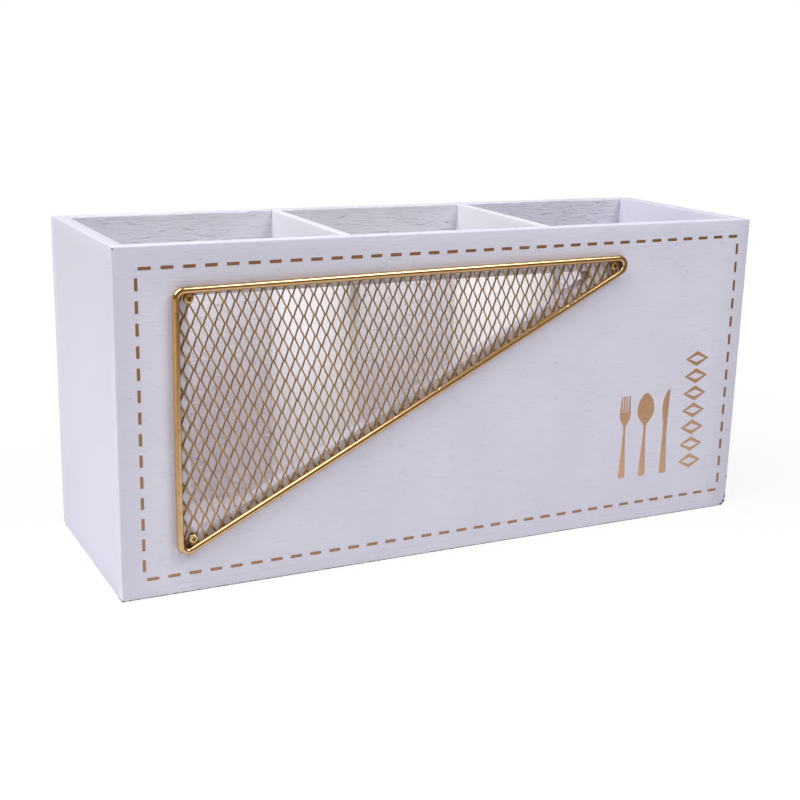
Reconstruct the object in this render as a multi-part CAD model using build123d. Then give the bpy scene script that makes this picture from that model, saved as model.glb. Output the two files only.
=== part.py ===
from build123d import *
import os
from math import cos, hypot, radians, sin

# Cutlery box: an open-topped wooden box with three compartments side by side. The front
# board has a three-cornered window, covered on the outside by brass mesh in a wire edge.
# Millimetres. X runs to the right, Y to the back and Z up. The origin is the centre of
# the box's underside, so the front board faces -Y.

# Box and boards
box_width = 300.0
box_depth = 100.0
box_height = 140.0
compartments = 3
wall_thickness = 6.0
divider_thickness = 4.0
floor_thickness = 4.0
edge_ease = 0.4  # rounding of the sanded edges

# Window: places on the front board are measured from its left edge and its bottom edge
window_left = 28.9
window_low_corner = 22.9
window_top_margin = 19.7  # strip of board left above the window
window_tip = 219.8  # where the top and the sloping edge would meet
window_blunt_end = 4.2  # height of the end that cuts the thin tip off
window_corner_radius = 3.5

# Wire loop around the window: how far its centre line stands outside the window
wire_diameter = 2.8
wire_bend_radius = 3.3
wire_beside_window = 5.5
wire_below_window = 6.7
wire_above_window = 2.5
wire_past_tip = 19.7
wire_rise = 3.0  # the top run climbs this much towards the tip

# Expanded metal mesh, clamped between the wire and the board
mesh_thickness = 0.7
mesh_rim = 0.8  # solid border, hidden under the wire
smallest_opening = 1.0  # square millimetres; slivers beside the rim are left filled
strand_width = 0.7
diamond_width = 4.66
diamond_height = 8.52
row_tilt = 1.2  # degrees, rows climb to the right
column_lean = 3.36  # degrees, columns lean to the left
first_bond_across = 3.13  # from the wire's upper left corner to the nearest bond of the mesh
first_bond_down = 1.77

# Cross-recess screws that hold the mesh and wire at the three corners
screw_head_diameter = 4.0
screw_head_height = 1.3
screw_head_round = 0.8  # rounding of the head's top edge
screw_shank_diameter = 1.6
screw_length = 5.0
screw_point = 1.2
screw_clearance = 0.02
recess_span = 2.1
recess_width = 0.6
recess_depth = 0.8
recess_taper = 12.0
gap_low_left = 2.15  # clear gaps from each head's rim to the two runs of wire beside it
gap_low_slope = 0.05
gap_high_left = 1.9
gap_high_top = 0.05
gap_tip_top = 0.05
gap_tip_slope = 0.35
screw_turns = (15.0, 40.0, 28.0)  # degrees, how far each screw was driven round

# Headless pins in the glued joints, driven below the surface and filled over
pin_diameter = 1.2
pin_length = 15.0
pin_point = 1.5
pin_set_depth = 0.8
pin_clearance = 0.02
pin_end_gap = 0.2
pin_low = 20.0  # height of the lowest pin in each upright joint
pin_top_margin = 10.0
floor_pin_spread = 50.0  # between the two floor pins in each end board

# Faces of the carcass
left = -box_width / 2
right = box_width / 2
front = -box_depth / 2
back = box_depth / 2
left_inside = left + wall_thickness
right_inside = right - wall_thickness
front_inside = front + wall_thickness
back_inside = back - wall_thickness
dividers = compartments - 1
inside_width = right_inside - left_inside
compartment_width = (inside_width - dividers * divider_thickness) / compartments
compartment_pitch = compartment_width + divider_thickness
front_face = Plane.XZ.offset(box_depth / 2)


def on_front(across, up):
    """A point of the front face, from the board's left and bottom edges."""
    return Vector(left + across, up)


# Corners of the window, sharp, and of the wire's centre line
window_top = box_height - window_top_margin
window_slope = (window_top - window_low_corner) / (window_tip - window_left)
blunt_end = window_tip - window_blunt_end / window_slope
wire_left = window_left - wire_beside_window
wire_top = window_top + wire_above_window
low_corner = on_front(wire_left, window_low_corner - wire_below_window)
high_corner = on_front(wire_left, wire_top)
tip_corner = on_front(window_tip + wire_past_tip, wire_top + wire_rise)
wire_corners = (low_corner, high_corner, tip_corner)


def beside_corner(corner, end_a, end_b, gap_a, gap_b):
    """Centre of a screw whose head clears the two runs of wire that meet at a corner."""
    along_a = (end_a - corner).normalized()
    along_b = (end_b - corner).normalized()
    spread = abs(along_a.X * along_b.Y - along_a.Y * along_b.X)
    reach = (wire_diameter + screw_head_diameter) / 2
    return corner + along_a * ((reach + gap_b) / spread) + along_b * ((reach + gap_a) / spread)


screw_places = (
    beside_corner(low_corner, high_corner, tip_corner, gap_low_left, gap_low_slope),
    beside_corner(high_corner, low_corner, tip_corner, gap_high_left, gap_high_top),
    beside_corner(tip_corner, high_corner, low_corner, gap_tip_top, gap_tip_slope),
)


def board(low, high):
    """A rectangular board between two opposite corners."""
    sizes = [b - a for a, b in zip(low, high)]
    return Pos(*low) * Box(*sizes, align=(Align.MIN, Align.MIN, Align.MIN))


def unique_edges(*faces):
    """The edges of some faces, with a shared edge taken once."""
    edges = ShapeList()
    for face in faces:
        edges += [edge for edge in face.edges() if edge not in edges]
    return edges


def pin_heights():
    """Heights of the pins in an upright joint: low, middle and high."""
    high = box_height - pin_top_margin
    return [pin_low, (pin_low + high) / 2, high]


def upright_joints():
    """Centre of each board edge that meets the front and back boards, with its pin heights."""
    low, middle, high = pin_heights()
    joints = [(left + wall_thickness / 2, [low, middle, high])]
    for number in range(dividers):
        joints.append((divider_left(number) + divider_thickness / 2, [low, high]))
    joints.append((right - wall_thickness / 2, [low, middle, high]))
    return joints


def divider_left(number):
    """Left face of a divider, counted from 0 at the left."""
    return left_inside + compartment_width + number * compartment_pitch


def pin_places(face, direction):
    """Where the pins of the front or back board start, and which way they point."""
    return [
        Plane((x, face + direction * pin_set_depth, z), z_dir=(0, direction, 0))
        for x, heights in upright_joints()
        for z in heights
    ]


def floor_pin_places():
    """Where the pins start that go through the walls into the edges of the base board."""
    z = floor_thickness / 2
    places = []
    for number in range(compartments):
        x = left_inside + number * compartment_pitch + compartment_width / 2
        places.append(Plane((x, front + pin_set_depth, z), z_dir=(0, 1, 0)))
        places.append(Plane((x, back - pin_set_depth, z), z_dir=(0, -1, 0)))
    for y in (-floor_pin_spread / 2, floor_pin_spread / 2):
        places.append(Plane((left + pin_set_depth, y, z), z_dir=(1, 0, 0)))
        places.append(Plane((right - pin_set_depth, y, z), z_dir=(-1, 0, 0)))
    return places


def pin():
    """One headless pin, point upwards, with its blunt end at the origin."""
    radius = pin_diameter / 2
    shank = pin_length - pin_point
    upright = (Align.CENTER, Align.CENTER, Align.MIN)
    point = Cone(radius, radius / 4, pin_point, align=upright)
    return Cylinder(radius, shank, align=upright) + Pos(0, 0, shank) * point


def bore():
    """The hole that a pin makes, a little longer than the pin."""
    upright = (Align.CENTER, Align.CENTER, Align.MIN)
    return Cylinder(pin_diameter / 2 + pin_clearance, pin_length + pin_end_gap, align=upright)


def pins_at(places):
    """The pins of one group, each a separate solid."""
    return Compound([place * pin() for place in places])


front_pin_places = pin_places(front, 1)
back_pin_places = pin_places(back, -1)
base_pin_places = floor_pin_places()
all_pin_places = front_pin_places + back_pin_places + base_pin_places
bores = [place * bore() for place in all_pin_places]


def bored(piece):
    """A board with the holes of the pins that reach it."""
    box = piece.bounding_box()
    near = [hole for hole in bores if box.overlaps(hole.bounding_box())]
    return piece - near if near else piece


def screw_hole():
    """Pilot hole of a screw, as deep in the board as the screw goes, with a little room."""
    depth = screw_length - mesh_thickness + screw_clearance
    upright = (Align.CENTER, Align.CENTER, Align.MAX)
    return Cylinder(screw_shank_diameter / 2 + screw_clearance, depth, align=upright)


def window():
    """Outline of the window, with its tip cut off bluntly."""
    corners = [
        on_front(window_left, window_low_corner),
        on_front(window_left, window_top),
        on_front(blunt_end, window_top),
        on_front(blunt_end, window_top - window_blunt_end),
    ]
    radii = [window_corner_radius, window_corner_radius, 0, 0]
    return make_face(FilletPolyline(*corners, radius=radii, close=True))


def front_board():
    piece = board((left, front, 0), (right, front_inside, box_height))
    outer_face = piece.faces().sort_by(Axis.Y)[0]
    top_face = piece.faces().sort_by(Axis.Z)[-1]
    piece = fillet(unique_edges(outer_face, top_face), edge_ease)
    piece -= extrude(front_face * window(), amount=wall_thickness, dir=(0, 1, 0))
    piece -= [front_face * Pos(place.X, place.Y) * screw_hole() for place in screw_places]
    return bored(piece)


def back_board():
    piece = board((left, back_inside, 0), (right, back, box_height))
    outer_face = piece.faces().sort_by(Axis.Y)[-1]
    top_face = piece.faces().sort_by(Axis.Z)[-1]
    return bored(fillet(unique_edges(outer_face, top_face), edge_ease))


def end_board(outer, inner):
    """An end board between the front and back boards; outer and inner are its faces in X."""
    low_x, high_x = sorted((outer, inner))
    piece = board((low_x, front_inside, 0), (high_x, back_inside, box_height))
    long_edges = piece.edges().filter_by(Axis.Y)
    top_edges = long_edges.group_by(Axis.Z)[-1]
    low_edges = long_edges.group_by(Axis.Z)[0]
    outer_low_edge = [edge for edge in low_edges if abs(edge.center().X - outer) < edge_ease]
    return bored(fillet(top_edges + outer_low_edge, edge_ease))


def base_board():
    low = (left_inside, front_inside, 0)
    return bored(board(low, (right_inside, back_inside, floor_thickness)))


def divider(number):
    x = divider_left(number)
    low = (x, front_inside, floor_thickness)
    piece = board(low, (x + divider_thickness, back_inside, box_height))
    top_edges = piece.edges().filter_by(Axis.Y).group_by(Axis.Z)[-1]
    return bored(fillet(top_edges, edge_ease))


def wire_frame():
    """The wire loop, bent round its three corners and closed by a butt weld."""
    plane = front_face.offset(mesh_thickness + wire_diameter / 2)
    path = plane * FilletPolyline(*wire_corners, radius=wire_bend_radius, close=True)
    section = Plane(origin=path @ 0, z_dir=path % 0) * Circle(wire_diameter / 2)
    return sweep(section, path=path)


def bond(column, row):
    """A bond of the mesh, where strands meet; odd rows are shifted by half a diamond.
    Columns count to the right and rows upwards from the bond at the wire's upper left corner."""
    tilt = radians(row_tilt)
    lean = radians(column_lean)
    across = diamond_width * (column + (row % 2) / 2)
    up = diamond_height * row / 2
    start = high_corner + Vector(first_bond_across, -first_bond_down)
    return start + Vector(across * cos(tilt) - up * sin(lean), across * sin(tilt) + up * cos(lean))


def bonds_around(column, row):
    """The four bonds round one opening: below, right, above and left."""
    right_column = column + row % 2
    return (
        bond(column, row),
        bond(right_column, row + 1),
        bond(column, row + 2),
        bond(right_column - 1, row + 1),
    )


def depth_in_loop(point):
    """How far a point lies inside the wire's centre line, negative outside it."""
    depths = []
    for start, end in zip(wire_corners, wire_corners[1:] + wire_corners[:1]):
        along = (end - start).normalized()
        depths.append((point.X - start.X) * along.Y - (point.Y - start.Y) * along.X)
    return min(depths)


def mesh_openings(inside_rim):
    """The openings of the mesh: each rhombus between bonds, less half a strand all round."""
    side_distance = diamond_width * diamond_height / (2 * hypot(diamond_width, diamond_height))
    shrink = 1 - strand_width / 2 / side_distance
    span = tip_corner - low_corner
    rows_down = int(2 * span.Y / diamond_height) + 3
    columns_left = int(span.Y * sin(radians(column_lean)) / diamond_width) + 3
    columns_right = int(span.X / diamond_width) + 3
    whole = []
    cut = []
    for row in range(-rows_down, 3):
        for column in range(-columns_left, columns_right):
            bonds = bonds_around(column, row)
            centre = (bonds[0] + bonds[2]) / 2
            if depth_in_loop(centre) < -diamond_height / 2:
                continue
            corners = [centre + (place - centre) * shrink for place in bonds]
            opening = Face(Wire.make_polygon(corners, close=True))
            clear = min(depth_in_loop(corner) for corner in corners) > wire_bend_radius
            (whole if clear else cut).append(opening)
    return whole + (inside_rim & Compound(cut)).faces()


def mesh_panel():
    """One holed sheet: a thin rim under the wire, and strands pressed flat at each screw."""
    outline = make_face(FilletPolyline(*wire_corners, radius=wire_bend_radius, close=True))
    inside_rim = offset(outline, amount=-mesh_rim)
    seat = Circle(screw_head_diameter / 2)
    hole = Circle(screw_shank_diameter / 2 + screw_clearance)
    seats = [Pos(place.X, place.Y) * seat for place in screw_places]
    openings = Compound(mesh_openings(inside_rim)) - seats
    sheet = outline - [face for face in openings.faces() if face.area > smallest_opening]
    sheet -= [Pos(place.X, place.Y) * hole for place in screw_places]
    return extrude(front_face * sheet, amount=mesh_thickness)


def screw():
    """One pan-head screw, head upwards, with the underside of its head at the origin."""
    upwards = (Align.CENTER, Align.CENTER, Align.MIN)
    downwards = (Align.CENTER, Align.CENTER, Align.MAX)
    shank_radius = screw_shank_diameter / 2
    straight = screw_length - screw_point
    head = Cylinder(screw_head_diameter / 2, screw_head_height, align=upwards)
    head = fillet(head.edges().sort_by(Axis.Z)[-1], screw_head_round)
    cross = Rectangle(recess_span, recess_width) + Rectangle(recess_width, recess_span)
    crown = Pos(0, 0, screw_head_height)
    head -= extrude(crown * cross, amount=-recess_depth, taper=recess_taper)
    shank = Cylinder(shank_radius, straight, align=downwards)
    point = Cone(shank_radius / 8, shank_radius, screw_point, align=downwards)
    return head + shank + Pos(0, 0, -straight) * point


def corner_screws():
    """The three screws, each driven through the mesh into the front board."""
    plane = front_face.offset(mesh_thickness)
    one_screw = screw()
    return Compound(
        [
            plane * Pos(place.X, place.Y) * Rot(0, 0, turn) * one_screw
            for place, turn in zip(screw_places, screw_turns)
        ]
    )


parts = {
    "front_board": front_board(),
    "back_board": back_board(),
    "left_end_board": end_board(left, left_inside),
    "right_end_board": end_board(right, right_inside),
    "base_board": base_board(),
    "mesh_panel": mesh_panel(),
    "wire_frame": wire_frame(),
    "corner_screws": corner_screws(),
    "front_pins": pins_at(front_pin_places),
    "back_pins": pins_at(back_pin_places),
    "base_pins": pins_at(base_pin_places),
}
for number in range(dividers):
    parts[f"divider_{number + 1}"] = divider(number)

os.makedirs("parts", exist_ok=True)
for name, shape in parts.items():
    export_step(shape, f"parts/{name}.step")
    print(name, len(shape.solids()), "solids", round(shape.volume), "mm3")
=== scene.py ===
# %% [markdown]
# # A painted cutlery box with a brass mesh window
#
# The real thing is a small wooden box, open at the top and split by two thin dividers into
# three compartments. The front board has a three-cornered window, covered on the outside by
# brass mesh in a wire edge, and a printed border with a fork, a spoon and a knife.
#
# The measured model gives every board, screw and wire its place. This script keeps those
# places and gives each piece the finish and the small faults of the real one.

from math import asin, atan, cos, hypot, pi, radians, sin, tan

import bmesh
import bpy
from mathutils import Matrix, Vector, noise


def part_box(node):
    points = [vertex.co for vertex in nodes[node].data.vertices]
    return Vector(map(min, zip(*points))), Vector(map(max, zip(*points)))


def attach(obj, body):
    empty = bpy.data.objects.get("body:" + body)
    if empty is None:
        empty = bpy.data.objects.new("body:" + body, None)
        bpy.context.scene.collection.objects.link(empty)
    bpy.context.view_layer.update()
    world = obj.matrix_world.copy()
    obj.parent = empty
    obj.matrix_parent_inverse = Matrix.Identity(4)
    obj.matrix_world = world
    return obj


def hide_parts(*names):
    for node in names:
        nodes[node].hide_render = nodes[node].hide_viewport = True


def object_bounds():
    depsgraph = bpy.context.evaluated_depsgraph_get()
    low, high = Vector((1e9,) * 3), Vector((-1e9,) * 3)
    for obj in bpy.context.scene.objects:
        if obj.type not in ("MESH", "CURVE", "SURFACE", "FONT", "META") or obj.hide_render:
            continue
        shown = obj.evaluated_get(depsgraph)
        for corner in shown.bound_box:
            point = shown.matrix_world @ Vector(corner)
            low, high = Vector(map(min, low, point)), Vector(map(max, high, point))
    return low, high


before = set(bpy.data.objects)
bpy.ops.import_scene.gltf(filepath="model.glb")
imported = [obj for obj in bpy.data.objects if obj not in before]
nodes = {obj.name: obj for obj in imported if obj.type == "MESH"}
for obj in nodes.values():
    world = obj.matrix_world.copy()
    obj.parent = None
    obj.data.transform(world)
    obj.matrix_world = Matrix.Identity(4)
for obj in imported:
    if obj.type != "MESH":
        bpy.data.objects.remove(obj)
cad_low, cad_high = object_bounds()
mm = 0.001
print("Measured size in mm:", [round(side / mm, 2) for side in cad_high - cad_low])

# %% [markdown]
# ## Camera
#
# The photograph looks at the box from its left and a little above, with the camera held
# slightly crooked. A camera could be aimed by hand, but its place, its three turns and its
# lens were worked out from the box's own corners, so here they are plain numbers. The turns
# are applied in the order a photographer would make them: pan, tilt, then roll.

# %% Camera
camera_place = Vector((-273.2, -528.8, 211.9)) * mm
pan = radians(-26.92)
tilt = radians(-14.74)
roll = radians(1.36)

lens = bpy.data.cameras.new("camera")
lens.sensor_width = 36
lens.lens = 59.76
lens.clip_start = 0.01
camera = bpy.data.objects.new("camera", lens)
camera.matrix_world = (
    Matrix.Translation(camera_place)
    @ Matrix.Rotation(pan, 4, "Z")
    @ Matrix.Rotation(radians(90) + tilt, 4, "X")
    @ Matrix.Rotation(roll, 4, "Z")
)
bpy.context.scene.collection.objects.link(camera)
bpy.context.scene.camera = camera
print("Camera distance in mm:", round(camera_place.length / mm))

# %% [markdown]
# ## Helpers for materials
#
# Every finish here is procedural: it is worked out from a point's place on the box, so no
# picture is needed and nothing slides when the view moves. A shader is a small network of
# nodes. One helper adds a node with its settings and inputs, and a few more name the steps
# that come back in every finish, so that each material reads like a recipe.

# %% Node helpers
def plug(node, inputs):
    """Gives each named input of a node a value or a link."""
    for socket, value in inputs.items():
        if isinstance(value, bpy.types.NodeSocket):
            node.id_data.links.new(value, node.inputs[socket])
        else:
            node.inputs[socket].default_value = value


def add(kind, inputs, tree=None, **settings):
    """A shader node with its settings and inputs, in the node tree that its links are in."""
    links = [value for value in inputs.values() if isinstance(value, bpy.types.NodeSocket)]
    made = (tree or links[0].id_data).nodes.new("ShaderNode" + kind)
    for setting, value in settings.items():
        setattr(made, setting, value)
    plug(made, inputs)
    return made


def maths(operation, a, b=0.0, c=0.0):
    """One sum; a, b and c are numbers or links."""
    inputs = {0: a, 1: b, 2: c} if operation == "MULTIPLY_ADD" else {0: a, 1: b}
    return add("Math", inputs, operation=operation).outputs[0]


def times(a, b):
    """The product of two shares."""
    return maths("MULTIPLY", a, b)


def ramp(value, low, high):
    """0 below one value, 1 above another and smooth between; low may be above high."""
    inputs = {"Value": value, "From Min": low, "From Max": high}
    return add("MapRange", inputs, interpolation_type="SMOOTHSTEP").outputs["Result"]


def blend(share, below, above):
    """A colour that goes from one to another as share goes from 0 to 1."""
    ends = [end if isinstance(end, bpy.types.NodeSocket) else (*end, 1) for end in (below, above)]
    return add("Mix", {0: share, 6: ends[0], 7: ends[1]}, data_type="RGBA").outputs[2]


# %% Helpers for places and patterns
def place_in_mm(tree):
    """The point on the box, in millimetres."""
    inputs = {0: add("TexCoord", {}, tree).outputs["Object"], "Scale": 1 / mm}
    return add("VectorMath", inputs, operation="SCALE").outputs["Vector"]


def xyz(point):
    """The three parts of a point, by their letters."""
    return add("SeparateXYZ", {0: point}).outputs


def distance(point, place):
    """How far the point is from a fixed place."""
    return add("VectorMath", {0: point, 1: place}, operation="DISTANCE").outputs["Value"]


def stretched(point, scale):
    """The point with each direction scaled, which draws a pattern out along the others."""
    return add("Mapping", {"Vector": point, "Scale": scale}).outputs["Vector"]


def clouds(point, scale, detail=2.0):
    """Soft noise with this many patches to the millimetre."""
    return add("TexNoise", {"Vector": point, "Scale": scale, "Detail": detail}).outputs["Fac"]


# %% Helpers for a whole material
def new_material(name):
    """A new material, its surface shader and the point on the box."""
    material = bpy.data.materials.new(name)
    material.use_nodes = True
    return material, shader_of(material), place_in_mm(material.node_tree)


def shader_of(material):
    """The surface shader of a material."""
    return material.node_tree.nodes["Principled BSDF"]


def relief(*patterns):
    """A surface with the relief of some patterns, each with its depth in millimetres."""
    normal = {}
    for pattern, depth in patterns:
        inputs = {"Height": pattern, "Distance": depth * mm, **normal}
        normal = {"Normal": add("Bump", inputs).outputs["Normal"]}
    return normal["Normal"]


def tint(material, share, tone):
    """Blends one more tone into a finished material's colour."""
    shader = shader_of(material)
    before = shader.inputs["Base Color"].links[0].from_socket
    plug(shader, {"Base Color": blend(share, before, tone)})


# %% [markdown]
# ## The paint
#
# The boards are brushed with a matt white that looks faintly lavender under the lamps. Close
# up it isn't one colour: the grain shows through as short hairlines along each board, the
# film is a little uneven, and a few grey specks of dust dried into it. Painted shade makes
# the left end board darker, the end boards darker towards their tops and the front darker
# along its ends and top, and a fine seam line runs along the front's foot. Inside the box,
# painted light makes the paint brighter and warmer below the rim, and the base warm. It has
# come off at the undersides and at knocked corners, where brown wood shows.
#
# Each board has its grain in its own direction, so one function makes the paint and takes
# that direction as an input. What only some boards have is an input that may be left out.

# %% Paint colours
paint_tones = ((0.792, 0.775, 0.900), (0.762, 0.746, 0.872))
# Painted shade: the next two lines give the left end board and the front's end faces darker tones
# than the other boards, and a still darker colour at the top
end_shade_tones = ((0.755, 0.745, 0.87), (0.73, 0.72, 0.845))
end_top_shade = ((0.69, 0.675, 0.785), 75)  # the colour at the top, and how far down it reaches
hairline_colour = (0.48, 0.46, 0.52)
speck_colour = (0.30, 0.29, 0.33)
wood_tones = ((0.25, 0.16, 0.11), (0.07, 0.045, 0.04))

# %% Places on the box, in millimetres
half_width = cad_high.x / mm
half_depth = cad_high.y / mm
height = cad_high.z / mm
front_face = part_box("front_board")[0].y / mm
wall = 6.0  # how thick the outer boards are
seam_height = 4.3
lowest_top = height - 1.7  # of the dividers, at the front
print("Front face at", round(front_face, 2), "mm and tops at", round(height, 2), "mm")

# %% Chips
# Where the paint is knocked off: at the left (-1) or the right end (1), how far in from that
# end, how far behind the front face, how high up, and the radius
chips = (
    (-1, 0.4, 0, height - 0.7, 0.45),
    (-1, 0, 0, height - 1.9, 0.22),
    (-1, 0, wall, height - 0.2, 0.40),
    (-1, 0, wall, height - 6.0, 0.25),
    (-1, 0, wall, height - 8.5, 0.30),
    (-1, 0, wall, height - 12.0, 0.22),
    (-1, 0.6, 0, 0.0, 0.8),
    (-1, 2.8, 0, -0.2, 0.75),
    (1, 0, 0, 14.6, 0.9),
    (1, 0.4, 0, 4.6, 0.8),
    (1, 1.3, 0, 2.2, 0.7),
    (1, 2.6, 0, 0.4, 0.9),
)


def chip_mask(point, up, ragged):
    """1 where the paint is gone: at the chips and along the underside."""
    gone = ramp(maths("MULTIPLY_ADD", ragged, -1.1, up), -0.05, -0.25)
    uneven = maths("SUBTRACT", ragged, 0.5)
    for end, inward, behind, above, radius in chips:
        centre = (end * (half_width - inward), front_face + behind, above)
        edge = maths("MULTIPLY_ADD", uneven, -1.2, distance(point, centre))
        gone = maths("MAXIMUM", gone, ramp(edge, radius + 0.1, radius - 0.1))
    return gone


print("Chips:", len(chips))

# %% Hairlines and specks
def grain_lines(point, along, threshold):
    """Short hairlines that run along one direction of a board."""
    scale = [0.16 if axis == along else 1.7 for axis in "XYZ"]
    pattern = clouds(stretched(point, scale), 1.0, 3.0)
    return ramp(pattern, threshold, threshold + 0.09)


def dust_specks(parts, across, up):
    """Sparse dots on a face, from the two directions in which the face extends."""
    flat = add("CombineXYZ", {0: parts[across], 1: parts[up]}).outputs[0]
    cells = 0.085  # to the millimetre
    dots = add("TexVoronoi", {"Vector": flat, "Scale": cells}, voronoi_dimensions="2D")
    size_luck, place_luck, _ = add("SeparateColor", {0: dots.outputs["Color"]}).outputs
    size = times(size_luck, 0.30 * cells)
    dot = maths("LESS_THAN", dots.outputs["Distance"], size)
    return times(dot, maths("GREATER_THAN", place_luck, 0.70))


# %% Painted shade and light
def rim_shade_and_seam(parts):
    """The front's painted shade near its ends and top, and its seam line along the foot."""
    from_middle = maths("ABSOLUTE", parts["X"])
    ends = times(ramp(from_middle, half_width - 20, half_width + 2), 0.9)
    to_left = maths("MULTIPLY_ADD", ramp(parts["X"], 60, -130), 0.65, 0.35)
    top = times(ramp(parts["Z"], height - 32, height + 2), to_left)
    from_seam = maths("ABSOLUTE", maths("SUBTRACT", parts["Z"], seam_height))
    seam = times(ramp(from_seam, 0.35, 0.1), 0.45)
    share = maths("MAXIMUM", maths("MAXIMUM", ends, top), seam)
    return times(share, ramp(parts["Y"], front_face + 0.6, front_face + 0.2))


def painted_inside_light(up, colour, high, low):
    """Painted light inside: below the rim the paint turns brighter, and lower down warmer."""
    colour = blend(ramp(up, height - 11, height - 22), colour, high)
    return blend(ramp(up, 100, 45), colour, low)


def near_top(up, colour, top_colour, depth):
    """A colour that turns into another over the last millimetres below the rim."""
    return blend(ramp(up, height - depth, height - 0.2), colour, top_colour)


# %% Painted wood
def painted_wood(name, along, face, threshold=0.66, ripple=0.05, tones=paint_tones, fine=1.0,
                 rim=None, inside=None, top_shade=None):
    """Matt paint with the grain of one board under it. along is the letter of the grain's
    axis, face the two letters of the plane in which the board's large sides lie."""
    material, shader, point = new_material("painted_" + name)
    parts = xyz(point)
    up = parts["Z"]
    colour = blend(ramp(clouds(point, 0.03), 0.35, 0.7), *tones)
    brush_share = 1.0
    # Painted shade along the front's ends and top, and the left end board's shaded tone on the
    # front's end faces
    if rim:
        colour = blend(rim_shade_and_seam(parts), colour, rim)
        from_middle = maths("ABSOLUTE", parts["X"])
        on_end = ramp(from_middle, half_width - 0.3, half_width - 0.1)
        colour = blend(on_end, colour, near_top(up, end_shade_tones[0], *end_top_shade))
    # Painted light on the inner faces, below the rim
    if inside:
        back_inside = half_depth - wall
        brush_share = ramp(parts["Y"], back_inside + 0.6, back_inside + 0.2)
        colour = blend(brush_share, colour, painted_inside_light(up, colour, *inside))
    # Painted shade: the paint darkens towards the top
    if top_shade:
        colour = near_top(up, colour, *top_shade)
    lines = grain_lines(point, along, threshold)
    colour = blend(times(lines, 0.22), colour, hairline_colour)
    below_tops = ramp(up, lowest_top, lowest_top - 1.3)
    specks = times(dust_specks(parts, *face), below_tops)
    colour = blend(times(specks, 0.8), colour, speck_colour)
    gone = chip_mask(point, up, clouds(point, 1.1, 3.0))
    wood = blend(ramp(clouds(point, 0.8), 0.4, 0.6), *wood_tones)
    rough = maths("MULTIPLY_ADD", clouds(point, 0.4), 0.16, 0.46)
    streaks = [fine * (0.2 if axis == along else 1.2) for axis in "XYZ"]
    brush = maths("SUBTRACT", clouds(stretched(point, streaks), 1.0), 0.5)
    orange_peel = clouds(point, 1.6)
    plug(shader, {
        "Base Color": blend(gone, colour, wood),
        "Roughness": maths("MAXIMUM", rough, times(gone, 0.85)),
        "Specular IOR Level": 0.35,
        "Normal": relief(
            (times(brush, brush_share), ripple),
            (orange_peel, 0.02),
            (maths("SUBTRACT", 1.0, lines), ripple * 0.6),
            (maths("SUBTRACT", 1.0, gone), 0.12),
        ),
    })
    return material


# %% Paint of each board
# The rim colour is painted shade along the front's ends and top, and also draws the seam line
# along its foot
front_paint = painted_wood("front", "X", "XZ", threshold=0.61, ripple=0.14,
                           rim=(0.68, 0.665, 0.785))
# Painted light: the back's inner face is brighter and warmer below the rim
back_paint = painted_wood("back", "X", "XZ", threshold=0.60, ripple=0.34, fine=1.7,
                          tones=((0.79, 0.78, 0.87), (0.76, 0.75, 0.84)),
                          inside=((0.96, 0.935, 0.975), (0.92, 0.865, 0.895)))
# Painted shade: the left board's darker tones, darker still towards its top
left_paint = painted_wood("left", "Y", "YZ", threshold=0.70, tones=end_shade_tones, top_shade=end_top_shade)
# Painted shade on the right board's top face
right_paint = painted_wood("right", "Y", "YZ", threshold=0.70,
                           top_shade=((0.72, 0.705, 0.815), 0.5))
# Painted light: the dividers are brighter and warmer below the rim
divider_paint = painted_wood("dividers", "Y", "YZ", threshold=0.68, ripple=0.08,
                             tones=((0.81, 0.80, 0.87), (0.79, 0.78, 0.85)),
                             inside=((0.97, 0.955, 0.96), (0.97, 0.95, 0.955)))
# Painted light: the base's warm tones
base_paint = painted_wood("base", "X", "XY", threshold=0.64, ripple=0.08,
                          tones=((0.85, 0.79, 0.825), (0.82, 0.76, 0.795)))
print("Nodes in the front's paint:", len(front_paint.node_tree.nodes))

# %% [markdown]
# ## Torn wood, ink, brass and steel
#
# The thin end of the window was snapped rather than sawn, and its wood was never painted.
# The print is a metallic gold-brown ink, darker in the border than in the figures. High up
# it mirrors a dark room and low down the bright table, so it gets some metal in its shader
# instead of a painted gradient. The brass is plated steel, warm and fairly smooth on the
# wire and the screws, and darker and duller on the mesh. The hidden pins are drawn steel.

# %% Torn wood
bare_wood, shader, point = new_material("torn_wood")
fibres = clouds(stretched(point, (0.5, 2.5, 2.5)), 1.0, 4.0)
plug(shader, {
    "Base Color": blend(ramp(fibres, 0.35, 0.6), (0.20, 0.12, 0.09), (0.78, 0.69, 0.66)),
    "Roughness": 0.9,
    "Normal": relief((fibres, 0.4)),
})

# %% Print ink
def gold_ink(name, dark, light):
    """Thin metallic ink that lets the paint's relief through."""
    material, shader, point = new_material(name)
    mottled = ramp(clouds(point, 1.3, 3.0), 0.3, 0.7)
    cracks = grain_lines(point, "X", 0.62)
    whole = blend(mottled, dark, light)
    plug(shader, {
        "Base Color": blend(times(cracks, 0.35), whole, (0.30, 0.17, 0.09)),
        "Metallic": 0.7,
        "Roughness": 0.36,
        "Normal": relief((mottled, 0.01), (cracks, 0.03)),
    })
    return material


border_ink = gold_ink("border_ink", (0.38, 0.204, 0.110), (0.44, 0.243, 0.137))
figure_ink = gold_ink("figure_ink", (0.64, 0.40, 0.25), (0.745, 0.475, 0.315))

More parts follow.
